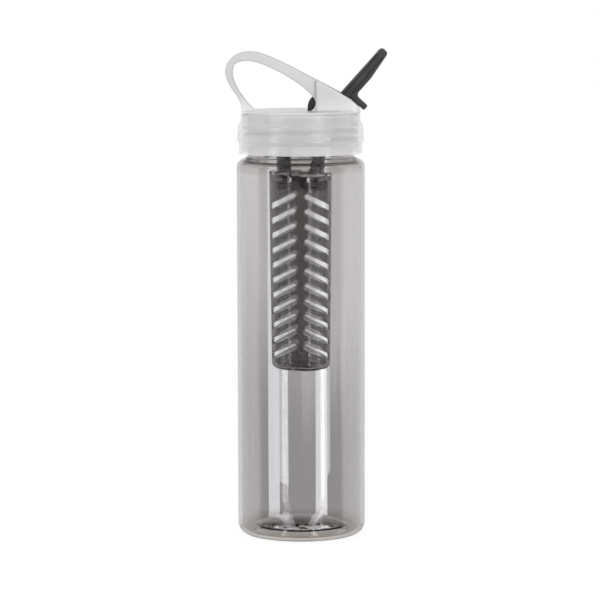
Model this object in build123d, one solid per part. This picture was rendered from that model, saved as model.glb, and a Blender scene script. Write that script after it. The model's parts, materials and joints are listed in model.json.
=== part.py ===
"""Fruit infuser water bottle: a clear bottle, a screw lid with a carry loop and a flip spout,
and an infuser that hangs from the lid. Millimetres, +Z up, origin at the centre of the base.
The front of the bottle faces -Y, and the spout tips over towards +X."""

import os
from math import acos, atan2, cos, degrees, hypot, radians, sin, tan

from build123d import *

os.makedirs("parts", exist_ok=True)

# Bottle body
body_radius = 36.5
bottle_wall = 1.9
base_corner = 7.0
foot_width = 3.0
punt_wall_run = 2.0
punt_wall_rise = 4.5
punt_rise = 8.5
rim_height = 240.5
rim_round = 0.5
neck_height = 29.0
shoulder_height = rim_height - neck_height
shoulder_corner = 4.6
shoulder_slope = 27.0
shoulder_width = 6.15
neck_radius = body_radius - shoulder_width
neck_root_fillet = 1.0

# Neck thread, right-handed with one start, broken at the two mould lines
thread_pitch = 4.5
thread_depth = 2.25
thread_root_width = 2.6
thread_crest_width = 1.0
thread_drop = 13.7
thread_low_height = rim_height - thread_drop
thread_low_angle = -113.0
thread_turns = 2.4
thread_break_width = 2.6

# Lid
lid_running_gap = 0.4
lid_thread_turns = 1.25
lid_thread_root_width = 2.0
lid_thread_crest_width = 0.9
lid_thread_pitches_above = 0.5
lid_thread_start_angle = -60.0
skirt_bore = neck_radius + thread_depth + lid_running_gap
skirt_wall = 2.06
skirt_radius = skirt_bore + skirt_wall
skirt_drop = 21.3
skirt_bottom_height = rim_height - skirt_drop
band_low_drop = 16.0
band_full_drop = 13.5
band_top_drop = 5.2
band_depth = 1.14
band_top_depth = 0.54
lid_wall = 1.2
lid_wall_radius = skirt_bore + lid_wall
lid_wall_drop = 3.0
lid_wall_draft = 0.4
band_round = 1.2
lid_top_thickness = 2.0
lid_edge_round = 1.0
skirt_lead_in = 0.5

# Lid gasket
gasket_thickness = 0.9
gasket_width = 3.8
gasket_inset = 0.15
gasket_gap = 0.05

# Carry loop, moulded with the lid
loop_overhang = 8.5
loop_reach = lid_wall_radius + loop_overhang
loop_rise_share = 0.7845
loop_rise = loop_rise_share * loop_reach
loop_width = 20.0
loop_outer_round_share = 0.0421
loop_outer_round = loop_outer_round_share * loop_reach
loop_inner_round_share = 0.0234
loop_inner_round = loop_inner_round_share * loop_reach
loop_foot_depth = 1.0
loop_outer_shares = [
    (-0.787, 0.0),
    (-0.800, 0.135),
    (-0.885, 0.325),
    (-0.974, 0.522),
    (-1.0, 0.675),
    (-0.906, 0.908),
    (-0.684, 1.0),
    (-0.405, 0.912),
    (0.204, 0.522),
]
roof_lead_run = 4.2
roof_lead_rise = 2.6
loop_inner_shares = [
    (-0.600, 0.0),
    (-0.728, 0.167),
    (-0.848, 0.400),
    (-0.904, 0.630),
    (-0.862, 0.795),
    (-0.728, 0.848),
    (-0.450, 0.760),
    (-0.129, 0.548),
    (0.130, 0.288),
    (0.201, 0.125),
    (0.176, 0.042),
    (0.129, 0.0),
]

# Spout housing, moulded with the lid
housing_length = 25.4
housing_width = 26.0
housing_round = 1.5
housing_nose_round = 3.0

# Spout, drawn in its open position
pivot_inset = 22.2
pivot_offset = lid_wall_radius - pivot_inset
pivot_rise = 1.6
hub_radius = 8.0
spout_angle = 47.97
spout_closed_turn = 98.0
spout_width = 12.4
spout_reach = 48.4
stem_edge_offset = 2.4
stem_thickness = 7.3
stem_taper_start = 31.0
stem_tip_thickness = 5.0
stem_tip_round = 2.2
stem_edge_round = 1.4
tab_start = 14.9
tab_thickness = 3.5
tab_reach = 18.8
tab_corner_round = 0.9
tab_root_fillet = 2.6
web_depth_share = 1.07
channel_radius = 1.7
channel_offset = 5.4
channel_bend = 8.0
channel_bend_radius = 1.85
groove_depth = 0.6
groove_width = 0.8
groove_spacing = 3.4
groove_start = 9.0
groove_end = 44.0
trunnion_radius = 2.0
trunnion_length = 2.2

# Fits round the spout
spout_side_gap = 0.3
hub_gap = 0.4
trunnion_gap = 0.06
trunnion_end_gap = 0.2
tip_gap = 0.6
tab_gap = 0.3
slot_margin_angle = 14.0
trough_wall = 1.6

# Spout seal
seal_gap = 0.1
seal_thickness = 1.3
seal_seat_gap = 0.05
seal_side_gap = 0.6
seal_low_angle = 203.0
seal_high_angle = 262.0
port_angle = 236.6
port_radius = 2.0
vent_angle = 212.0
vent_radius = 0.7
vent_side_offset = 4.2
vent_groove_depth = 0.8
vent_groove_end_angle = 186.0

# Spigot under the lid, and the infuser collar that is pushed on it
collar_radius = 13.85
collar_wall = 1.5
collar_drop = 11.4
collar_top_height = rim_height - collar_drop
spigot_gap = 0.08
spigot_wall = 1.6
spigot_engagement = 3.5
collar_seat_gap = 0.1
window_width = 11.4
window_height = 15.3
window_drop = 4.0
window_corner = 2.2
flange_drop = 19.9
flange_top_height = collar_top_height - flange_drop
flange_thickness = 1.7
flange_round = 1.1
strainer_thickness = 1.6
strainer_hole_radius = 1.6
strainer_ring_radius = 6.6
strainer_ring_count = 8
collar_skirt_length = 10.5
skirt_end_height = flange_top_height - collar_skirt_length

# Thread between collar and basket
infuser_pitch = 3.6
infuser_thread_depth = 1.4
infuser_thread_root_width = 1.9
infuser_thread_crest_width = 0.7
infuser_thread_rise = 1.9
infuser_thread_low_height = skirt_end_height + infuser_thread_rise
infuser_thread_turns = 1.75
infuser_thread_gap = 0.5
basket_thread_turns = 1.0

# Infuser basket
basket_radius = 18.0
basket_bottom_radius = 16.75
basket_drop = 113.4
basket_bottom_height = flange_top_height - basket_drop
basket_corner = 4.0
basket_wall = 1.8
basket_seam_gap = 0.1
slot_rows = 11
slot_pitch = 8.56
slot_drop = 19.3
slot_first_height = flange_top_height - slot_drop
slot_outer_offset = 14.7
slot_inner_offset = 4.0
slot_side_offset = 16.3
slot_rise = 5.35
slot_opening = 3.3
slot_fall_angle = 1.3
basket_rest_turn = -1.5

# Bite of one solid into the next where they are joined, and overrun of a cutter
bite = 0.4
overrun = 5.0


def polar(radius, angle):
    """A point of the XZ sketch at this radius and angle from its origin."""
    return (radius * cos(radians(angle)), radius * sin(radians(angle)))


def pie(radius, low_angle, high_angle):
    """Sector of a disc round the XZ sketch's origin."""
    start = polar(radius, low_angle)
    end = polar(radius, high_angle)
    middle = polar(radius, (low_angle + high_angle) / 2)
    return make_face([Line((0, 0), start), ThreePointArc(start, middle, end), Line(end, (0, 0))])


def tube(outer, inner, low, high):
    """Ring round the bottle's axis between two heights."""
    wall = Circle(outer) - Circle(inner)
    return extrude(Plane.XY.offset(low) * wall, high - low)


def helical_ridge(root, depth, root_width, crest_width, pitch, turns, low, angle, inward=False):
    """Trapezoidal thread ridge on a wall of radius root, outward or inward, as one solid."""
    side = -1 if inward else 1
    path = Helix(pitch=pitch, height=pitch * turns, radius=root)
    buried_width = root_width + (root_width - crest_width) * bite / depth
    outline = Polyline(
        (-side * bite, buried_width / 2),
        (side * depth, crest_width / 2),
        (side * depth, -crest_width / 2),
        (-side * bite, -buried_width / 2),
        close=True,
    )
    section = Plane(origin=path @ 0, x_dir=(1, 0, 0), z_dir=path % 0) * make_face(outline)
    ridge = sweep(section, path=path, is_frenet=True)
    return Pos(0, 0, low) * Rot(0, 0, angle) * ridge


def body_outline(top):
    """Half outline of the bottle up to the height top, as edges from the axis out and up."""
    foot_outer = body_radius - base_corner
    foot_inner = foot_outer - foot_width
    punt_edge = foot_inner - punt_wall_run
    dome_sag = punt_rise - punt_wall_rise
    dome_radius = (punt_edge**2 + dome_sag**2) / (2 * dome_sag)
    half_edge = punt_edge / 2
    half_height = punt_rise - dome_radius + (dome_radius**2 - half_edge**2) ** 0.5
    corner_centre = body_radius - shoulder_corner
    turn = radians(90 - shoulder_slope)
    slope_start = (
        corner_centre + shoulder_corner * cos(turn),
        shoulder_height + shoulder_corner * sin(turn),
    )
    slope_rise = (slope_start[0] - neck_radius) * tan(radians(shoulder_slope))
    neck_foot = (neck_radius, slope_start[1] + slope_rise)
    corner_middle = polar(base_corner, -45)
    shoulder_middle = polar(shoulder_corner, degrees(turn) / 2)
    return [
        ThreePointArc((0, punt_rise), (half_edge, half_height), (punt_edge, punt_wall_rise)),
        Line((punt_edge, punt_wall_rise), (foot_inner, 0)),
        Line((foot_inner, 0), (foot_outer, 0)),
        ThreePointArc(
            (foot_outer, 0),
            (foot_outer + corner_middle[0], base_corner + corner_middle[1]),
            (body_radius, base_corner),
        ),
        Line((body_radius, base_corner), (body_radius, shoulder_height)),
        ThreePointArc(
            (body_radius, shoulder_height),
            (corner_centre + shoulder_middle[0], shoulder_height + shoulder_middle[1]),
            slope_start,
        ),
        Line(slope_start, neck_foot),
        Line(neck_foot, (neck_radius, top)),
        Line((neck_radius, top), (0, top)),
        Line((0, top), (0, punt_rise)),
    ]


def half_silhouette(top):
    """Filled half outline of the bottle, with the root of the neck rounded."""
    face = make_face(body_outline(top))
    necks = [
        corner
        for corner in face.vertices()
        if abs(corner.X - neck_radius) < bite and corner.Y < rim_height - neck_root_fillet
    ]
    return fillet(necks, neck_root_fillet)


def bottle_body():
    """The bottle with its wall, its neck and the thread on the neck."""
    outside = half_silhouette(rim_height)
    half = half_silhouette(rim_height + overrun)
    silhouette = half + mirror(half, Plane.YZ)
    cavity = offset(silhouette, -bottle_wall, kind=Kind.INTERSECTION)
    side = Pos(body_radius, rim_height / 2) * Rectangle(2 * body_radius, 2 * rim_height)
    wall = outside - cavity
    shell = revolve(Plane.XZ * (wall & side), Axis.Z)
    rim_edges = shell.edges().filter_by(GeomType.CIRCLE).group_by(Axis.Z)[-1]
    shell = fillet(rim_edges, rim_round)
    ridge = helical_ridge(
        neck_radius,
        thread_depth,
        thread_root_width,
        thread_crest_width,
        thread_pitch,
        thread_turns,
        thread_low_height + thread_pitch * thread_low_angle / 360,
        thread_low_angle,
    )
    span = 2 * (neck_radius + thread_depth + overrun)
    gap = Pos(0, 0, rim_height - neck_radius) * Box(thread_break_width, span, span)
    return shell + (ridge - gap)


def lid_outline():
    """Half section of the lid's outside, from the skirt up to the top."""
    lid_top = lid_top_height()
    band_low = rim_height - band_low_drop
    wall_low = rim_height - lid_wall_drop
    outline = Polyline(
        (0, skirt_bottom_height),
        (skirt_radius, skirt_bottom_height),
        (skirt_radius, band_low),
        (skirt_radius + band_depth, rim_height - band_full_drop),
        (skirt_radius + band_top_depth, rim_height - band_top_drop),
        (lid_wall_radius, wall_low),
        (lid_wall_radius - lid_wall_draft, lid_top),
        (0, lid_top),
        close=True,
    )
    face = make_face(outline)
    corners = [
        corner
        for corner in face.vertices()
        if band_low <= corner.Y <= wall_low and corner.X > 0
    ]
    face = fillet(corners, band_round)
    edge = face.vertices().group_by(Axis.Y)[-1].sort_by(Axis.X)[-1]
    return fillet(edge, lid_edge_round)


def lid_ceiling_height():
    """Underside of the lid's top, which presses the gasket on the rim."""
    return rim_height + gasket_thickness + 2 * gasket_gap


def lid_top_height():
    return lid_ceiling_height() + lid_top_thickness


def cap():
    """The screw cap: skirt, grip band, top and the bore that goes over the neck."""
    solid = revolve(Plane.XZ * lid_outline(), Axis.Z)
    depth = lid_ceiling_height() - skirt_bottom_height
    bore = Pos(0, 0, skirt_bottom_height) * extrude(Circle(skirt_bore), depth)
    lead = Pos(0, 0, skirt_bottom_height) * Cone(
        skirt_bore + skirt_lead_in,
        skirt_bore,
        skirt_lead_in,
        align=(Align.CENTER, Align.CENTER, Align.MIN),
    )
    return solid - bore - lead


def lid_thread():
    """Ridge inside the skirt, half a pitch off the neck's ridge so that the flanks clear."""
    angle = lid_thread_start_angle
    low = thread_low_height + thread_pitch * (angle / 360 + lid_thread_pitches_above)
    return helical_ridge(
        skirt_bore,
        thread_depth,
        lid_thread_root_width,
        lid_thread_crest_width,
        thread_pitch,
        lid_thread_turns,
        low,
        angle,
        inward=True,
    )


def loop_point(share):
    return (share[0] * loop_reach, lid_top_height() + share[1] * loop_rise)


def roof_ridge():
    """Where the loop's top line meets the roof that the thumb tab lies on."""
    return spout_point(tab_start - tab_gap, -web_depth())


def roof_line_end():
    """Where the roof runs out at the lid's wall."""
    ridge = roof_ridge()
    fall = tan(radians(90 - spout_angle))
    return (lid_wall_radius, ridge[1] - (lid_wall_radius - ridge[0]) * fall)


def loop_outside():
    """Side view of the loop and the housing together, without the finger opening."""
    points = [loop_point(share) for share in loop_outer_shares]
    ridge = roof_ridge()
    nose = roof_line_end()
    foot = lid_top_height() - loop_foot_depth
    lead = (ridge[0] - roof_lead_run, ridge[1] + roof_lead_rise)
    lines = [
        Spline(*points, lead, ridge),
        Line(ridge, nose),
        Line(nose, (lid_wall_radius, foot)),
        Line((lid_wall_radius, foot), (points[0][0], foot)),
        Line((points[0][0], foot), points[0]),
    ]
    face = make_face(lines)
    corner = face.vertices().sort_by_distance((nose[0], nose[1], 0))[0]
    return fillet(corner, housing_nose_round)


def loop_opening():
    """Side view of the finger opening, down to below the lid's top."""
    points = [loop_point(share) for share in loop_inner_shares]
    foot = lid_top_height() - loop_foot_depth
    lines = [
        Spline(*points),
        Line(points[-1], (points[-1][0], foot)),
        Line((points[-1][0], foot), (points[0][0], foot)),
        Line((points[0][0], foot), points[0]),
    ]
    return make_face(lines)


def carry_loop():
    """The flat band that arches from the lid's left edge to the housing, edges rounded."""
    side_view = loop_outside() - loop_opening()
    band = extrude(Plane.XZ * side_view, loop_width / 2, both=True)
    half = loop_width / 2
    rims = [
        edge
        for edge in band.edges()
        if abs(abs(edge.center().Y) - half) < bite
        and edge.bounding_box().size.Z > loop_rise / 2
        and edge.bounding_box().size.X > loop_reach / 2
    ]
    outer = sorted(rims, key=lambda edge: -edge.length)
    band = fillet(outer[:2], loop_outer_round)
    inner = [
        edge
        for edge in band.edges()
        if abs(abs(edge.center().Y) - half) < bite
        and edge.bounding_box().size.Z > loop_rise / 2
        and edge.bounding_box().size.X > loop_reach / 2
        and edge.bounding_box().max.Z < lid_top_height() + loop_rise - stem_tip_thickness / 2
    ]
    return fillet(inner, loop_inner_round)


def housing():
    """The block right of the finger opening that carries the spout between two side walls."""
    wide = 2 * lid_wall_radius
    left_end = lid_wall_radius - housing_length
    right_part = Pos(left_end + wide / 2, lid_top_height()) * Rectangle(wide, 2 * wide)
    block = extrude(Plane.XZ * (loop_outside() & right_part), housing_width / 2, both=True)
    long_edges = [
        edge
        for edge in block.edges()
        if abs(abs(edge.center().Y) - housing_width / 2) < bite
        and edge.center().Z > lid_top_height() + loop_foot_depth
    ]
    block = fillet(long_edges, housing_round)
    low = lid_top_height() - loop_foot_depth
    drum = Pos(0, 0, low) * extrude(Circle(lid_wall_radius), 2 * loop_rise)
    return block & drum


def spout_point(along, across):
    """A point of the spout's own side view, along the stem and across it, in the XZ sketch."""
    c, s = cos(radians(spout_angle)), sin(radians(spout_angle))
    pivot = pivot_point()
    return (pivot[0] + along * c - across * s, pivot[1] + along * s + across * c)


def pivot_point():
    return (pivot_offset, lid_top_height() + pivot_rise)


def web_depth():
    """How far below the pivot line the web between hub and tab runs."""
    return hub_radius * web_depth_share


def along_y(sketch, width):
    """Extrude an XZ sketch to a width centred on the bottle's middle plane."""
    return extrude(Plane.XZ * sketch, width / 2, both=True)


def at_pivot(sketch):
    return Pos(*pivot_point()) * sketch


def trough():
    """Half-round trough under the hub, closed below and at both ends."""
    outer = hub_radius + hub_gap + seal_thickness + trough_wall
    half_round = at_pivot(Circle(outer))
    low_half = Pos(pivot_offset, lid_top_height() - lid_top_thickness / 2 - outer) * Rectangle(
        2 * outer, 2 * outer
    )
    width = spout_width + 2 * spout_side_gap + 2 * trough_wall
    return along_y(half_round & low_half, width)


def slot_region():
    """Side view of everything that the spout sweeps: hub, web, tab and stem."""
    pivot = pivot_point()
    clear = hub_radius + hub_gap
    depth = web_depth() + hub_gap
    ridge = spout_point(tab_start - tab_gap, -depth)
    ridge_run = hypot(ridge[0] - pivot[0], ridge[1] - pivot[1])
    ridge_angle = degrees(atan2(ridge[1] - pivot[1], ridge[0] - pivot[0]))
    tangent_angle = ridge_angle - degrees(acos(clear / ridge_run))
    touch = polar(clear, tangent_angle)
    ramp = make_face(Polyline(pivot, (pivot[0] + touch[0], pivot[1] + touch[1]), ridge, close=True))
    reach = spout_reach + tip_gap
    closed_angle = spout_angle + spout_closed_turn + slot_margin_angle
    sweep_path = pie(reach, ridge_angle, closed_angle)
    return at_pivot(Circle(clear)) + ramp + at_pivot(sweep_path)


def seal_sector(inner, outer, low_angle, high_angle):
    """Sector of a ring round the pivot, in the XZ sketch."""
    return at_pivot(pie(outer, low_angle, high_angle) - Circle(inner))


def radial_hole(radius, angle, near, far, side_offset=0):
    """Round hole that points at the pivot's axis from below, between two radii."""
    start = polar(near, angle)
    pivot = pivot_point()
    direction = polar(1, angle)
    plane = Plane(
        origin=(pivot[0] + start[0], side_offset, pivot[1] + start[1]),
        z_dir=(direction[0], 0, direction[1]),
    )
    return extrude(plane * Circle(radius), far - near)


def spigot():
    """Tube under the lid: the collar is pushed on its lower end and stops at its step."""
    inner = collar_radius - collar_wall - spigot_gap - spigot_wall
    step = collar_top_height + collar_seat_gap
    ceiling = lid_ceiling_height() + bite
    upper = tube(collar_radius, inner, step, ceiling)
    low_end = collar_top_height - spigot_engagement
    lower = tube(collar_radius - collar_wall - spigot_gap, inner, low_end, step + bite)
    return upper + lower


def lid_shell():
    """The lid in one piece with its loop, housing, trough, spigot and thread."""
    solid = cap() + lid_thread() + spigot() + trough() + carry_loop() + housing()
    solid -= along_y(slot_region(), spout_width + 2 * spout_side_gap)
    recess_outer = hub_radius + seal_gap + seal_thickness + seal_seat_gap
    recess = seal_sector(hub_radius / 2, recess_outer, seal_low_angle, seal_high_angle)
    solid -= along_y(recess, spout_width + 2 * spout_side_gap - seal_side_gap)
    trunnion_span = spout_width + 2 * trunnion_length + 2 * trunnion_end_gap
    solid -= along_y(at_pivot(Circle(trunnion_radius + trunnion_gap)), trunnion_span)
    reach = hub_radius + hub_gap + seal_thickness + trough_wall + bite
    solid -= radial_hole(port_radius, port_angle, hub_radius / 2, reach)
    solid -= radial_hole(vent_radius, vent_angle, hub_radius / 2, reach, vent_side_offset)
    return solid


def lid_gasket():
    """Flat ring between the bottle's rim and the lid."""
    outer = skirt_bore - gasket_inset
    low = rim_height + gasket_gap
    return tube(outer, outer - gasket_width, low, low + gasket_thickness)


def spout_seal():
    """Curved pad under the hub with the drinking port and the vent."""
    inner = hub_radius + seal_gap
    margin = degrees(seal_seat_gap / inner)
    pad = seal_sector(inner, inner + seal_thickness, seal_low_angle + margin, seal_high_angle - margin)
    width = spout_width + 2 * spout_side_gap - seal_side_gap - 2 * seal_seat_gap
    solid = along_y(pad, width)
    solid -= radial_hole(port_radius, port_angle, hub_radius / 2, 2 * hub_radius)
    return solid - radial_hole(vent_radius, vent_angle, hub_radius / 2, 2 * hub_radius, vent_side_offset)


def spout_outline():
    """Side view of the spout with its stem along the sketch's X axis, before it is turned."""
    base = stem_edge_offset + stem_thickness
    tip = stem_edge_offset + stem_tip_thickness
    tab_top = tab_start + tab_thickness
    web = (tab_start, -web_depth())
    run = hypot(*web)
    touch = polar(hub_radius, degrees(atan2(web[1], web[0])) - degrees(acos(hub_radius / run)))
    outline = Polyline(
        (0, -stem_edge_offset),
        (spout_reach, -stem_edge_offset),
        (spout_reach, -tip),
        (stem_taper_start, -base),
        (tab_top, -base),
        (tab_top, -tab_reach),
        (tab_start, -tab_reach),
        web,
        touch,
        (0, 0),
        close=True,
    )
    face = make_face(outline)
    tip_corners = [v for v in face.vertices() if v.X > spout_reach - stem_tip_round]
    face = fillet(tip_corners, stem_tip_round)
    tab_corners = [v for v in face.vertices() if v.Y < -tab_reach + tab_corner_round]
    face = fillet(tab_corners, tab_corner_round)
    root = face.vertices().sort_by_distance((tab_top, -base, 0))[0]
    return fillet(root, tab_root_fillet)


def spout_channel():
    """Pieces of the bent drinking channel, from the port in the hub to the tip."""
    port = polar(hub_radius, port_angle - spout_angle)
    bend = (channel_bend, -channel_offset)
    end = (spout_reach, -(stem_edge_offset + stem_tip_thickness / 2))
    pieces = [Pos(bend[0], 0, bend[1]) * Sphere(channel_bend_radius)]
    for far, past in ((port, hub_radius / 2), (end, overrun)):
        run = hypot(far[0] - bend[0], far[1] - bend[1])
        plane = Plane(
            origin=(bend[0], 0, bend[1]),
            z_dir=(far[0] - bend[0], 0, far[1] - bend[1]),
        )
        pieces.append(extrude(plane * Circle(channel_radius), run + past))
    return pieces


def stem_grooves():
    """Two shallow grooves along each side of the stem, either side of a raised rib."""
    middle = stem_edge_offset + stem_thickness / 2
    tip_middle = stem_edge_offset + stem_tip_thickness / 2
    run = groove_end - groove_start
    fall = degrees(atan2(middle - tip_middle, spout_reach - groove_start))
    side = spout_width / 2
    cutter = None
    for across in (-groove_spacing / 2, groove_spacing / 2):
        strip = SlotOverall(run, groove_width)
        placed = Pos(groove_start + run / 2, -(middle + tip_middle) / 2) * Rot(0, 0, fall) * strip
        shifted = Pos(0, across) * placed
        for face_side in (-1, 1):
            plane = Plane.XZ.offset(face_side * side)
            cut = extrude(plane * shifted, groove_depth, both=True)
            cutter = cut if cutter is None else cutter + cut
    return cutter


def vent_groove():
    """Groove in the hub that joins the vent to the open air when the spout is up."""
    low = vent_groove_end_angle - spout_angle
    high = vent_angle - spout_angle
    rim = pie(2 * hub_radius, low, high) - Circle(hub_radius - vent_groove_depth)
    return Pos(0, vent_side_offset, 0) * along_y(rim, 2 * vent_radius)


def spout():
    """The flip spout: hub with trunnions, stem with its channel, and the thumb tab."""
    stem = along_y(spout_outline(), spout_width)
    side = spout_width / 2
    rims = [
        edge
        for edge in stem.edges()
        if abs(abs(edge.center().Y) - side) < bite and edge.center().X > hub_radius
    ]
    stem = fillet(rims, stem_edge_round)
    solid = stem + along_y(Circle(hub_radius), spout_width)
    solid += along_y(Circle(trunnion_radius), spout_width + 2 * trunnion_length)
    for piece in spout_channel():
        solid -= piece
    solid -= stem_grooves()
    solid -= vent_groove()
    pivot = pivot_point()
    return Pos(pivot[0], 0, pivot[1]) * Rot(0, -spout_angle, 0) * solid


def infuser_collar():
    """Collar on the spigot: windowed neck, flange, strainer floor and threaded skirt."""
    bore = collar_radius - collar_wall
    solid = tube(collar_radius, bore, skirt_end_height, collar_top_height)
    flange_low = flange_top_height - flange_thickness
    flange = tube(basket_radius, bore, flange_low, flange_top_height)
    rim = flange.edges().filter_by(GeomType.CIRCLE).group_by(Axis.Z)[-1].sort_by(SortBy.RADIUS)[-1]
    solid += fillet(rim, flange_round)
    floor = extrude(Plane.XY.offset(flange_low) * Circle(bore + bite), strainer_thickness)
    holes = Circle(strainer_hole_radius) + PolarLocations(
        strainer_ring_radius, strainer_ring_count
    ) * Circle(strainer_hole_radius)
    floor -= extrude(Plane.XY.offset(flange_low - bite) * holes, strainer_thickness + 2 * bite)
    solid += floor
    middle = collar_top_height - window_drop - window_height / 2
    window = Pos(0, middle) * RectangleRounded(window_width, window_height, window_corner)
    solid -= along_y(window, 4 * collar_radius)
    ridge = helical_ridge(
        collar_radius,
        infuser_thread_depth,
        infuser_thread_root_width,
        infuser_thread_crest_width,
        infuser_pitch,
        infuser_thread_turns,
        infuser_thread_low_height,
        0,
    )
    return solid + ridge


def basket_slots():
    """Herringbone slots cut through front and back alike, falling a little towards the back."""
    run = slot_outer_offset - slot_inner_offset
    tilt = degrees(atan2(slot_rise, run))
    centre = (slot_outer_offset + slot_inner_offset) / 2
    side = slot_side_offset + slot_opening
    length = hypot(run, slot_rise) + 2 * (slot_side_offset - slot_outer_offset) + 2 * slot_opening
    shift = slot_opening / 2 + slot_side_offset - slot_outer_offset
    cutter = None
    for row in range(slot_rows):
        shrink = 1 - (1 - basket_bottom_radius / basket_radius) * row / slot_rows
        height = slot_first_height + slot_rise / 2 - row * slot_pitch
        for hand in (-1, 1):
            bar = Rot(0, 0, -hand * tilt) * Pos(hand * shift, 0) * SlotOverall(length, slot_opening)
            slot = Pos(hand * centre * shrink, height) * bar
            limit = Pos(hand * (slot_side_offset * shrink - side / 2), height)
            slot &= limit * Rectangle(side, 2 * side)
            cut = extrude(Plane.XZ * slot, 2 * basket_radius, both=True)
            cutter = cut if cutter is None else cutter + cut
    middle = slot_first_height - (slot_rows - 1) * slot_pitch / 2
    return Pos(0, 0, middle) * Rot(-slot_fall_angle, 0, 0) * Pos(0, 0, -middle) * cutter


def basket_cup(radius_top, radius_bottom, low, high, corner):
    """Solid tapered cup shape with a rounded bottom corner."""
    face = make_face(
        Polyline((0, low), (radius_bottom, low), (radius_top, high), (0, high), close=True)
    )
    corner_point = face.vertices().sort_by_distance((radius_bottom, low, 0))[0]
    return revolve(Plane.XZ * fillet(corner_point, corner), Axis.Z)


def infuser_basket():
    """The slotted basket, open at the top where it screws on the collar."""
    top = flange_top_height - flange_thickness - basket_seam_gap
    outside = basket_cup(
        basket_radius, basket_bottom_radius, basket_bottom_height, top, basket_corner
    )
    inside = basket_cup(
        basket_radius - basket_wall,
        basket_bottom_radius - basket_wall,
        basket_bottom_height + basket_wall,
        top + overrun,
        basket_corner - basket_wall,
    )
    thread_bore = collar_radius + infuser_thread_depth + infuser_thread_gap
    low = skirt_end_height - infuser_pitch
    neck_ring = tube(basket_radius - bite, thread_bore, low, top)
    solid = outside - inside + neck_ring
    solid -= Rot(0, 0, basket_rest_turn) * basket_slots()
    ridge = helical_ridge(
        thread_bore,
        infuser_thread_depth,
        infuser_thread_root_width,
        infuser_thread_crest_width,
        infuser_pitch,
        basket_thread_turns,
        infuser_thread_low_height + infuser_pitch / 2,
        0,
        inward=True,
    )
    return solid + ridge


makers = {
    "bottle_body": bottle_body,
    "lid_shell": lid_shell,
    "lid_gasket": lid_gasket,
    "spout": spout,
    "spout_seal": spout_seal,
    "infuser_collar": infuser_collar,
    "infuser_basket": infuser_basket,
}
for name, make in makers.items():
    piece = make()
    print(name, len(piece.solids()), "solids, volume", round(piece.volume, 1), "mm3")
    export_step(piece, f"parts/{name}.step")
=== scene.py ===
# %% [markdown]
# # Fruit infuser water bottle
# A clear smoke-grey bottle with a frosted screw lid. A dark basket for fruit hangs from the lid,
# and a dark spout flips up on the right. The packed model comes in first as a fixed frame, in
# metres: every piece below keeps the place that this frame gives it.

import json
import math

import bpy
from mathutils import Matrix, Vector


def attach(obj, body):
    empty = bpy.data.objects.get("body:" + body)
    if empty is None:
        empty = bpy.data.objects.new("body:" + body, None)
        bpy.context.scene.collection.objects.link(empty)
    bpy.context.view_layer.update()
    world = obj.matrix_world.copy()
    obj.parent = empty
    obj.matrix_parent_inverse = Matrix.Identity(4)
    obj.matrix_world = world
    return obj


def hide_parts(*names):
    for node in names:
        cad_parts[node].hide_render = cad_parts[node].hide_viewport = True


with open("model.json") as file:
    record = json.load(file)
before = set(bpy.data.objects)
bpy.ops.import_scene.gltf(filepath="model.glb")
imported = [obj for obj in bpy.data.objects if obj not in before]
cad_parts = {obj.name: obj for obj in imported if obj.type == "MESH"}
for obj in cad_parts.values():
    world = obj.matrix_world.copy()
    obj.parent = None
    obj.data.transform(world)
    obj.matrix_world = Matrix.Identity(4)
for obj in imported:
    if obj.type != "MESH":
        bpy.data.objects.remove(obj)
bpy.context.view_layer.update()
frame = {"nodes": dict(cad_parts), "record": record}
nodes = frame["nodes"]
bodies = frame["record"]["behaviour"]["bodies"]
body_of_node = {node: body for body, members in bodies.items() for node in members}
print("nodes:", sorted(nodes))
print("bodies:", sorted(bodies))

# %% [markdown]
# ## The camera
# The photograph was taken with a long lens, from a little above the bottle's middle. A short lens
# close by would make the lid and the foot look wider than they are. So the camera stands almost
# two metres away and looks down by six degrees. From there it sees the same widths, and the same
# slim ellipses at the lid, the basket and the foot, as the photograph does.

# %% Camera
CAMERA_DISTANCE = 1.85
CAMERA_DOWN = math.radians(6.0)
CAMERA_ROLL = math.radians(0.15)
LOOK_AT = Vector((-0.0001, 0.0, 0.1349))
LENS = 193.74
SENSOR = 36.0

camera_data = bpy.data.cameras.new("camera")
camera_data.lens = LENS
camera_data.sensor_width = SENSOR
camera = bpy.data.objects.new("camera", camera_data)
bpy.context.scene.collection.objects.link(camera)
towards_camera = Vector((0, -math.cos(CAMERA_DOWN), math.sin(CAMERA_DOWN)))
camera.location = LOOK_AT + CAMERA_DISTANCE * towards_camera
camera.rotation_euler = (math.pi / 2 - CAMERA_DOWN, CAMERA_ROLL, 0)
bpy.context.scene.camera = camera
print("camera at", [round(value, 3) for value in camera.location])

# %% [markdown]
# ## Shader maths
# A shader can be wired node by node, but a sum reads better as a sum. This small class holds one
# output of a node. Its operators add Math nodes, so that `1 - mask` works, and `make` adds any
# other node: the settings are set first, and then the inputs get numbers, colours or links. An
# input goes by its label, or by an underscore and its place where that label isn't unique.

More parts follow.
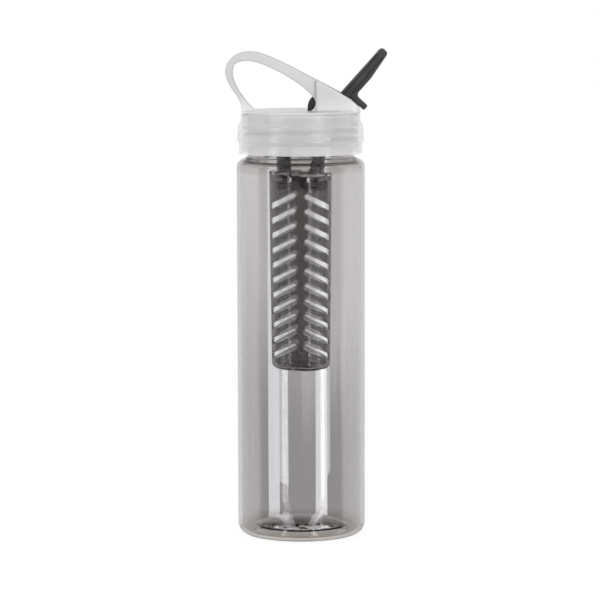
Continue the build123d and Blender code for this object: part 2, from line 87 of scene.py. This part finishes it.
# %% A socket that can be added and multiplied
class Socket:
    def __init__(self, tree, output=None):
        self.tree = tree
        self.output = output

    def make(self, kind, settings=None, output=0, **inputs):
        node = self.tree.nodes.new(kind)
        for key, value in (settings or {}).items():
            setattr(node, key, value)
        for key, value in inputs.items():
            place = int(key[1:]) if key[0] == "_" else key.replace("_", " ")
            if isinstance(value, Socket):
                self.tree.links.new(value.output, node.inputs[place])
            else:
                node.inputs[place].default_value = value
        return Socket(self.tree, node.outputs[output] if len(node.outputs) else None)

    def feed(self, shader, name):
        """Link this socket to a named input of a finish's shader."""
        self.tree.links.new(self.output, shader.inputs[name])

    def math(self, operation, first, second=0.0):
        return self.make("ShaderNodeMath", {"operation": operation}, _0=first, _1=second)

    def __add__(self, other):
        return self.math("ADD", self, other)

    def __radd__(self, other):
        return self.math("ADD", other, self)

    def __sub__(self, other):
        return self.math("SUBTRACT", self, other)

    def __rsub__(self, other):
        return self.math("SUBTRACT", other, self)

    def __mul__(self, other):
        return self.math("MULTIPLY", self, other)

    def __rmul__(self, other):
        return self.math("MULTIPLY", other, self)

    def larger(self, other):
        return self.math("MAXIMUM", self, other)

    def smaller(self, other):
        return self.math("MINIMUM", self, other)

    def root(self):
        return self.math("SQRT", self)

    def step(self, low, high, to_low=0.0, to_high=1.0):
        """A smooth step from to_low at low to to_high at high."""
        smooth = {"interpolation_type": "SMOOTHSTEP"}
        ends = {"From_Min": low, "From_Max": high, "To_Min": to_low, "To_Max": to_high}
        return self.make("ShaderNodeMapRange", smooth, Value=self, **ends)

    def mix(self, low, high):
        """The colour between low and high, this socket being the factor."""
        colours = {"data_type": "RGBA"}
        return self.make("ShaderNodeMix", colours, output=2, _0=self, _6=low, _7=high)


print("reflected operators:", [name for name in vars(Socket) if name.startswith("__r")])

# %% [markdown]
# Two nodes are asked again and again. Light Path tells what kind of ray asks for a colour, and
# how many surfaces it has met. Separate XYZ takes a place apart, where Z is the height.

# %% What the ray is, and where the place is
WHITE = (1, 1, 1, 1)


def ray(tools, fact):
    """One output of Light Path, such as Is Camera Ray or Glossy Depth."""
    return tools.make("ShaderNodeLightPath", output=fact)


def parts(place):
    """X, Y and Z of a place: east, north and up."""
    return [place.make("ShaderNodeSeparateXYZ", output=axis, Vector=place) for axis in "XYZ"]


print("white is", WHITE)

# %% [markdown]
# ## The studio
# Clear plastic has hardly any look of its own: it shows what stands round it. A photographer
# therefore puts white behind it and something dark above and in front, and these draw its edges.
# Real walls and tables would shade the bottle too, so the world plays these parts instead. Rays
# that come through plastic see white behind the bottle, a grey table below and a dark ceiling
# above. Reflected rays see a dark room on the camera's side. Plain surfaces get an even fill, at
# which a colour looks about as it is written.

# %% World
FILL = 0.8
TABLE_EDGE = (-0.145, -0.09)
TABLE_LIGHT = 0.62
CEILING_EDGE = (0.15, 0.45)
CEILING_DARKNESS = 0.97
ROOM_EDGE = (-0.22, -0.05)
ROOM_LIGHT = 0.05
BACKDROP_EDGE = (0.3, 0.75)
BACKDROP_LIGHT = 0.8
CROSSED_ONE = (0.2, 0.8)

world = bpy.data.worlds.new("studio")
world.use_nodes = True
world.node_tree.nodes.clear()
bpy.context.scene.world = world
tools = Socket(world.node_tree)

_, north, up = parts(tools.make("ShaderNodeTexCoord", output="Generated"))
for_camera = ray(tools, "Is Camera Ray")
clear = ray(tools, "Is Transmission Ray").larger(ray(tools, "Is Glossy Ray"))
reflected = ray(tools, "Glossy Depth").smaller(1.0)
inside = ray(tools, "Transmission Depth").step(*CROSSED_ONE)

table = up.step(*TABLE_EDGE, TABLE_LIGHT, 1.0)
ceiling = 1.0 - inside * up.step(*CEILING_EDGE, 0.0, CEILING_DARKNESS)
room = north.step(*ROOM_EDGE, ROOM_LIGHT, 1.0)
backdrop = north.step(*BACKDROP_EDGE, 1.0, BACKDROP_LIGHT)
seen_through = clear * (1.0 - reflected) * table * ceiling
seen_in_gloss = clear * reflected * room * backdrop * ceiling
fill = (1.0 - clear.larger(for_camera)) * FILL

strength = seen_through + seen_in_gloss + fill + for_camera
shade = tools.make("ShaderNodeBackground", Color=WHITE, Strength=strength)
tools.make("ShaderNodeOutputWorld", Surface=shade)
print("world nodes:", len(world.node_tree.nodes))

# %% [markdown]
# Two tall softboxes stand in front, left and right. They light the frosted lid and draw the soft
# upright highlights on it. Left alone, they would also flare on the bottle and hide the basket. So
# each lamp's own nodes ask how often a ray was reflected, and how many faces of clear plastic it
# crossed: none after the outside of the front wall, two after its inside, and four or more after
# the basket or the far wall. The near wall then shows the softboxes faintly, and the far wall well.

# %% Softboxes
SOFTBOX_DISTANCE = 0.45
SOFTBOX_LOW = -0.055
SOFTBOX_HIGH = 1.15
SOFTBOX_RADIANCE = 8.0
ON_SURFACES = 0.5
IN_NEAR_WALL = 0.04
IN_FAR_WALL = 0.8
CROSSED_THREE = (2.2, 2.8)


def softbox(name, inner, outer):
    """A lamp between two azimuths in degrees, which grow from the camera to the right."""
    data = bpy.data.lights.new(name, "AREA")
    data.shape = "RECTANGLE"
    data.size = 2 * SOFTBOX_DISTANCE * math.tan(math.radians(abs(outer - inner) / 2))
    data.size_y = SOFTBOX_HIGH - SOFTBOX_LOW
    data.energy = SOFTBOX_RADIANCE * data.size * data.size_y * math.pi
    lamp = bpy.data.objects.new(name, data)
    bpy.context.scene.collection.objects.link(lamp)
    angle = math.radians((inner + outer) / 2)
    lamp.location = Vector((math.sin(angle), -math.cos(angle), 0)) * SOFTBOX_DISTANCE
    lamp.location.z = (SOFTBOX_LOW + SOFTBOX_HIGH) / 2
    lamp.rotation_euler = (math.pi / 2, 0, angle)
    lamp.visible_camera = False

    data.use_nodes = True
    data.node_tree.nodes.clear()
    tools = Socket(data.node_tree)
    crossed = ray(tools, "Transmission Depth")
    reflected = ray(tools, "Glossy Depth").smaller(1.0)
    direct = (1.0 - reflected) * crossed.step(*CROSSED_ONE, ON_SURFACES, 0.0)
    near_wall = crossed.step(*CROSSED_ONE, IN_NEAR_WALL, IN_NEAR_WALL / 3)
    far_wall = crossed.step(*CROSSED_THREE, 0.0, IN_FAR_WALL)
    strength = direct + reflected * (near_wall + far_wall)
    glow = tools.make("ShaderNodeEmission", Color=WHITE, Strength=strength)
    tools.make("ShaderNodeOutputLight", Surface=glow)
    print(name, "at", [round(value, 3) for value in lamp.location])


softbox("softbox_left", -40.0, -49.0)
softbox("softbox_right", 28.0, 40.0)

# %% [markdown]
# The bright upright bands in the bottle's lower half lie behind the basket, so they can't be
# reflections in the front wall. Narrow strip lights behind the bottle make them. Each is a single
# glowing face that belongs to the stage and not to the bottle, and only rays that come through
# clear plastic see it. Two of them end above the foot, with slanted ends, as the bands do.

# %% Strip lights behind the bottle
STRIP_BEHIND = 0.08
STRIP_TOP = 0.6
UNDER_FOOT = -0.012
STRIP_COLOUR = (0.97, 1.0, 1.025, 1)


def stage_material(name):
    """An empty material for the stage, and the socket helper for its nodes."""
    material = bpy.data.materials.new(name)
    material.use_nodes = True
    material.node_tree.nodes.clear()
    return material, Socket(material.node_tree)


def strip_light(name, left, right, low_left, low_right, brightness):
    """An upright glowing face, whose lower end may be slanted."""
    material, tools = stage_material(name)
    glow = tools.make("ShaderNodeEmission", Color=STRIP_COLOUR, Strength=brightness)
    tools.make("ShaderNodeOutputMaterial", Surface=glow)
    material.cycles.emission_sampling = "NONE"
    corners = [(left, low_left), (right, low_right), (right, STRIP_TOP), (left, STRIP_TOP)]
    mesh = bpy.data.meshes.new(name)
    mesh.from_pydata([(x, STRIP_BEHIND, z) for x, z in corners], [], [(0, 1, 2, 3)])
    mesh.materials.append(material)
    strip = bpy.data.objects.new(name, mesh)
    bpy.context.scene.collection.objects.link(strip)
    strip.visible_camera = False
    strip.visible_diffuse = False
    strip.visible_glossy = False
    strip.visible_shadow = False
    print(name, "is", round((right - left) * 1000, 1), "mm wide")


strip_light("strip_left_outer", -0.0216, -0.0145, UNDER_FOOT, UNDER_FOOT, 1.5)
strip_light("strip_left_inner", -0.0145, -0.0088, 0.0165, 0.0135, 1.15)
strip_light("strip_right_inner", 0.0097, 0.0141, UNDER_FOOT, UNDER_FOOT, 1.5)
strip_light("strip_right_middle", 0.0141, 0.01736, UNDER_FOOT, UNDER_FOOT, 1.8)
strip_light("strip_right_outer", 0.01736, 0.0193, 0.02, 0.024, 1.2)

# %% [markdown]
# The floor is a pale matt sheet. To the camera nine tenths of it glow white, so that it melts
# into the white background, and the matt tenth keeps the bottle's soft shadow. A plain white
# floor would need more light on the bottle to look as white. It lies a fifth of a millimetre under
# the bottle, because two faces at one height would flicker into each other.

# %% Floor
FLOOR_SIZE = 6.0
FLOOR_HEIGHT = -0.0002
FLOOR_COLOUR = (0.8, 0.8, 0.8, 1)
FLOOR_GLOW = 1.05
GLOWING_SHARE = 0.9

floor_material, tools = stage_material("pale_floor")
matt = tools.make("ShaderNodeBsdfDiffuse", Color=FLOOR_COLOUR)
glow = tools.make("ShaderNodeEmission", Color=WHITE, Strength=FLOOR_GLOW)
share = ray(tools, "Is Camera Ray") * GLOWING_SHARE
sheet = tools.make("ShaderNodeMixShader", _0=share, _1=matt, _2=glow)
tools.make("ShaderNodeOutputMaterial", Surface=sheet)

bpy.ops.object.select_all(action="DESELECT")
bpy.ops.mesh.primitive_plane_add(size=FLOOR_SIZE, location=(0, 0, FLOOR_HEIGHT))
floor = bpy.context.object
floor.name = "floor"
floor.data.materials.append(floor_material)
floor.visible_glossy = False
floor.visible_transmission = False
print("floor:", [round(value, 2) for value in floor.dimensions])

# %% [markdown]
# ## Finishes
# Every finish is one Principled shader with a few nodes in front of it. Pictures could be wrapped
# round the pieces, but noise needs no seams, and it is sharp at any distance. It is taken at
# Object coordinates, in metres, so it stays on a piece that moves. A Mapping node stretches it,
# and a Bump node turns it into a relief whose depth is given in thousandths of a millimetre.

# %% Helpers for the finishes
MICRON = 0.000001
MIDDLE = (0.3, 0.7)


def new_finish(name):
    """A material, its Principled shader, and the socket helper for its nodes."""
    material = bpy.data.materials.new(name)
    material.use_nodes = True
    tree = material.node_tree
    return material, tree.nodes["Principled BSDF"], Socket(tree)


def place_on(tools, stretch=(1, 1, 1)):
    """The place on a piece, scaled along each axis: a small scale makes long patterns."""
    place = tools.make("ShaderNodeTexCoord", output="Object")
    return place.make("ShaderNodeMapping", Vector=place, Scale=stretch)


def noise(place, scale, detail=2.0):
    return place.make("ShaderNodeTexNoise", Vector=place, Scale=scale, Detail=detail)


def bump(shader, height, depth):
    relief = height.make("ShaderNodeBump", Height=height, Distance=depth, Strength=1.0)
    relief.feed(shader, "Normal")


def grey(light, blue=0.0):
    """A grey colour, a little bluer where asked."""
    return (light, light, light + blue, 1)


print("half grey:", grey(0.5))

# %% [markdown]
# ### Clear smoke plastic
# The bottle is blown from a hot tube of clear copolyester. Its wall is even. Its threaded neck and
# its standing ring are darker, because there the eye looks through more plastic. The base that is
# pushed up inside the ring is tinted nearly clear: that is painted light, set against the shade
# from the grey table and from the many faces that rays cross there. A volume could tint the light
# by its way through the plastic, but an exported model can't keep one. So the tint is a colour of
# the surface, which changes with the height, and in the foot with the distance from the axis.
# Blowing leaves faint upright streaks and a slow wave in the wall, and a burst of ripples in the
# base.

# %% Clear plastic of any tint
NECK_STARTS = (0.2075, 0.2105)
FOOT_ENDS = (0.003, 0.010)
# Where the painted light of the base gives way to the ring's tint.
PAINTED_LIGHT_BASE_ENDS = (0.027, 0.030)
BURST_ENDS = (0.024, 0.029)
BURST_DEPTH = 14.0
STREAK_DEPTH = 0.4
RELIEF = 15 * MICRON


def clear_plastic(name, tint, neck_tint, roughness, bending, painted_light_base_tint=None, ring_tint=None):
    """Clear plastic, tinted apart at the neck and, where tints are given, in the foot: the ring
    gets its own tint, and the base inside it gets a painted light.
    """
    material, shader, tools = new_finish(name)
    shader.inputs["IOR"].default_value = bending
    shader.inputs["Transmission Weight"].default_value = 1.0
    place = place_on(tools)
    east, north, up = parts(place)
    radius = (east * east + north * north).root()
    foot = up.step(*FOOT_ENDS, 1.0, 0.0)
    colour = tint
    if painted_light_base_tint:
        # Inside the ring the base gets a nearly clear tint, a painted light against the shade of
        # the grey table and the extra faces.
        colour = foot.mix(tint, radius.step(*PAINTED_LIGHT_BASE_ENDS).mix(painted_light_base_tint, ring_tint))
    up.step(*NECK_STARTS).mix(colour, neck_tint).feed(shader, "Base Color")

    streaks = noise(place_on(tools, (1, 1, 0.03)), 220.0, detail=1.0)
    ripple = noise(place_on(tools, (1, 1, 0.5)), 45.0, detail=1.0)
    under_base = foot * radius.step(*BURST_ENDS, BURST_DEPTH, 0.0)
    burst = noise(place, 210.0, detail=1.0) * under_base
    bump(shader, streaks * STREAK_DEPTH + ripple + burst, RELIEF)
    ripple.step(*MIDDLE, roughness * 0.8, roughness * 1.2).feed(shader, "Roughness")
    print(name, "has", len(material.node_tree.nodes), "nodes")
    return material


# %% [markdown]
# The basket and its collar are moulded of a darker plastic of the same kind. The collar's skirt
# sits inside the basket's top, where the two tints would add up to black, so it is nearly clear.
# Both are given a lower IOR than the bottle. With the same one, the light bends so much in their
# many small faces that the slots behind are lost.

# %% Smoke tints
SMOKE = (0.725, 0.71, 0.712, 1)
SMOKE_NECK = (0.64, 0.62, 0.61, 1)
# The base's nearly clear tint is painted light, not a paler plastic.
SMOKE_BASE_PAINTED_LIGHT = (0.98, 0.95, 0.93, 1)
SMOKE_RING = (0.54, 0.50, 0.47, 1)
DARK_SMOKE = (0.43, 0.42, 0.415, 1)
DARK_NECK = (0.35, 0.34, 0.34, 1)
COLLAR_SKIRT = (0.82, 0.81, 0.81, 1)

clear_smoke = clear_plastic("clear_smoke", SMOKE, SMOKE_NECK, 0.015, 1.57, SMOKE_BASE_PAINTED_LIGHT, SMOKE_RING)
smoke_black = clear_plastic("smoke_black", DARK_SMOKE, DARK_NECK, 0.03, 1.4)
smoke_collar = clear_plastic("smoke_collar", COLLAR_SKIRT, DARK_NECK, 0.03, 1.15)

# %% [markdown]
# ### Frosted polypropylene
# The lid is milky plastic with a fine matt grain. Its thin skirt lets the bottle's thread show
# through, and the solid loop and spout housing don't. Scattering inside the plastic would be the
# true cause, but it is slow to render and isn't exported. So the skirt has a low Alpha under a soft
# coat, which draws the two upright highlights. Above it Alpha rises to almost 1, the coat ends, and
# the colour turns a little greyer. The lid's top edge and the lowest part of the loop and housing
# keep some of the skirt's lighter colour: that is painted light, set against the shade where they
# meet the lid's top.

# %% Frosted polypropylene
SOLID_STARTS = (0.240, 0.246)
# Over these heights the skirt's lighter colour fades to the grey of the solid parts. The lid's top
# edge and the foot of the loop and housing get it as painted light.
HOUSING_PAINTED_LIGHT_FADE = (0.240, 0.254)
SKIRT_ALPHA = 0.4
SOLID_ALPHA = 0.95

frosted_white, shader, tools = new_finish("frosted_white")
shader.inputs["IOR"].default_value = 1.49
shader.inputs["Roughness"].default_value = 0.3
shader.inputs["Coat Roughness"].default_value = 0.32
shader.inputs["Coat IOR"].default_value = 1.85
up = parts(place_on(tools))[2]
solid = up.step(*SOLID_STARTS)
milk = noise(place_on(tools), 60.0).step(*MIDDLE)
skirt_and_painted_light_colour = milk.mix(grey(0.84, 0.005), grey(0.88, 0.005))
solid_colour = milk.mix(grey(0.58, 0.005), grey(0.61, 0.005))
# The lighter colour low on the loop and housing is painted light against the shade at the lid's
# top.
up.step(*HOUSING_PAINTED_LIGHT_FADE).mix(skirt_and_painted_light_colour, solid_colour).feed(shader, "Base Color")
solid.step(0.0, 1.0, SKIRT_ALPHA, SOLID_ALPHA).feed(shader, "Alpha")
(1.0 - solid).feed(shader, "Coat Weight")
bump(shader, noise(place_on(tools), 900.0), 8 * MICRON)
print("frosted_white has", len(frosted_white.node_tree.nodes), "nodes")

# %% [markdown]
# ### Dark grey plastic
# The spout is moulded in one piece, almost black, with a satin surface and hardly any grain. One
# flat colour would look like paint, so colour and roughness vary a little in soft clouds.

# %% Dark grey plastic
dark_grey, shader, tools = new_finish("dark_grey")
cloud = noise(place_on(tools), 120.0)
dark_colour = cloud.step(*MIDDLE).mix(grey(0.040, 0.001), grey(0.050, 0.001))
dark_colour.feed(shader, "Base Color")
cloud.step(*MIDDLE, 0.42, 0.5).feed(shader, "Roughness")
bump(shader, noise(place_on(tools), 1500.0), 2 * MICRON)
print("dark_grey has", len(dark_grey.node_tree.nodes), "nodes")

# %% [markdown]
# ### Silicone
# The gasket and the spout's seal are milky silicone. It is soft and dull and lets some light
# through, so three tenths of the shader transmit, and the rest is a pale matt colour.

# %% Silicone
silicone, shader, tools = new_finish("silicone")
shader.inputs["Transmission Weight"].default_value = 0.3
cloud = noise(place_on(tools), 150.0).step(*MIDDLE)
cloud.mix(grey(0.77), grey(0.82)).feed(shader, "Base Color")
cloud.step(0.0, 1.0, 0.5, 0.6).feed(shader, "Roughness")
bump(shader, noise(place_on(tools), 700.0), 20 * MICRON)
print("silicone has", len(silicone.node_tree.nodes), "nodes")

# %% [markdown]
# ## The pieces
# The frame's shapes are right already, but each is made of loose triangles, shaded flat. They
# could be modelled again, yet a copy keeps every thread and slot. In the copy the triangles are
# joined where their corners meet, and an edge that bends by less than 42 degrees is shaded
# smooth. Weighted normals keep large flat faces flat beside small roundings. The copy stands for
# its node in the frame and rides on the same body, so it moves as that one does.

# %% A smooth copy of a piece of the frame
JOIN_WITHIN = 0.000001
SMOOTH_UNDER = math.radians(42.0)


def smooth_piece(node_name, piece_name, material, flat_faces=False):
    """A copy of a node, its triangles joined and its curves shaded smooth."""
    piece = bpy.data.objects.new(piece_name, nodes[node_name].data.copy())
    bpy.context.scene.collection.objects.link(piece)
    bpy.ops.object.select_all(action="DESELECT")
    piece.select_set(True)
    bpy.context.view_layer.objects.active = piece
    bpy.ops.object.mode_set(mode="EDIT")
    bpy.ops.mesh.select_all(action="SELECT")
    bpy.ops.mesh.remove_doubles(threshold=JOIN_WITHIN)
    bpy.ops.object.mode_set(mode="OBJECT")
    bpy.ops.mesh.customdata_custom_splitnormals_clear()
    bpy.ops.object.shade_smooth_by_angle(angle=SMOOTH_UNDER)
    if flat_faces:
        bpy.ops.object.modifier_add(type="WEIGHTED_NORMAL")
        piece.modifiers[-1].keep_sharp = True
        bpy.ops.object.modifier_apply(modifier=piece.modifiers[-1].name)
    piece.data.materials.clear()
    piece.data.materials.append(material)
    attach(piece, body_of_node[node_name])
    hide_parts(node_name)
    print(piece_name, "has", len(piece.data.vertices), "points")


# %% [markdown]
# ### Bottle
# One blown shell with a wall of 1.9 mm, closed below by a base that is pushed up inside its
# standing ring, so that it doesn't rock. The neck carries a thread with one start. It is broken
# at the two lines where the halves of the mould met.

# %% Bottle
smooth_piece("bottle_body", "bottle", clear_smoke)

# %% [markdown]
# ### Lid and gasket
# The lid is one moulding: the skirt with its inner thread, the carry loop, the housing of the
# spout, and the spigot that carries the infuser. Its top is wide and flat beside small roundings,
# so it takes the weighted normals. The gasket is a flat ring that the lid presses on the rim.

# %% Lid and gasket
smooth_piece("lid_shell", "lid", frosted_white, flat_faces=True)
smooth_piece("lid_gasket", "gasket", silicone)

# %% [markdown]
# ### Spout and seal
# The spout turns on two stubs that snap into the housing. Upright, its channel meets the port in
# the seal, and folded down, it lies in the slot of the loop and the port is shut. The seal is a
# curved silicone pad that the spout's round end slides on.

# %% Spout and seal
smooth_piece("spout", "flip_spout", dark_grey, flat_faces=True)
smooth_piece("spout_seal", "seal", silicone)

# %% [markdown]
# ### Collar and basket
# The collar is pushed on the lid's spigot and has a window front and back for the water. The
# basket screws on the collar from below and comes off to be filled. Water passes its eleven rows
# of slanted slots, and the fruit stays inside.

# %% Collar and basket
smooth_piece("infuser_collar", "collar", smoke_collar)
smooth_piece("infuser_basket", "basket", smoke_black)

# %% [markdown]
# ## The end
# The Standard view shows each colour as it is written.

# %% Finish
bpy.context.scene.view_settings.view_transform = "Standard"
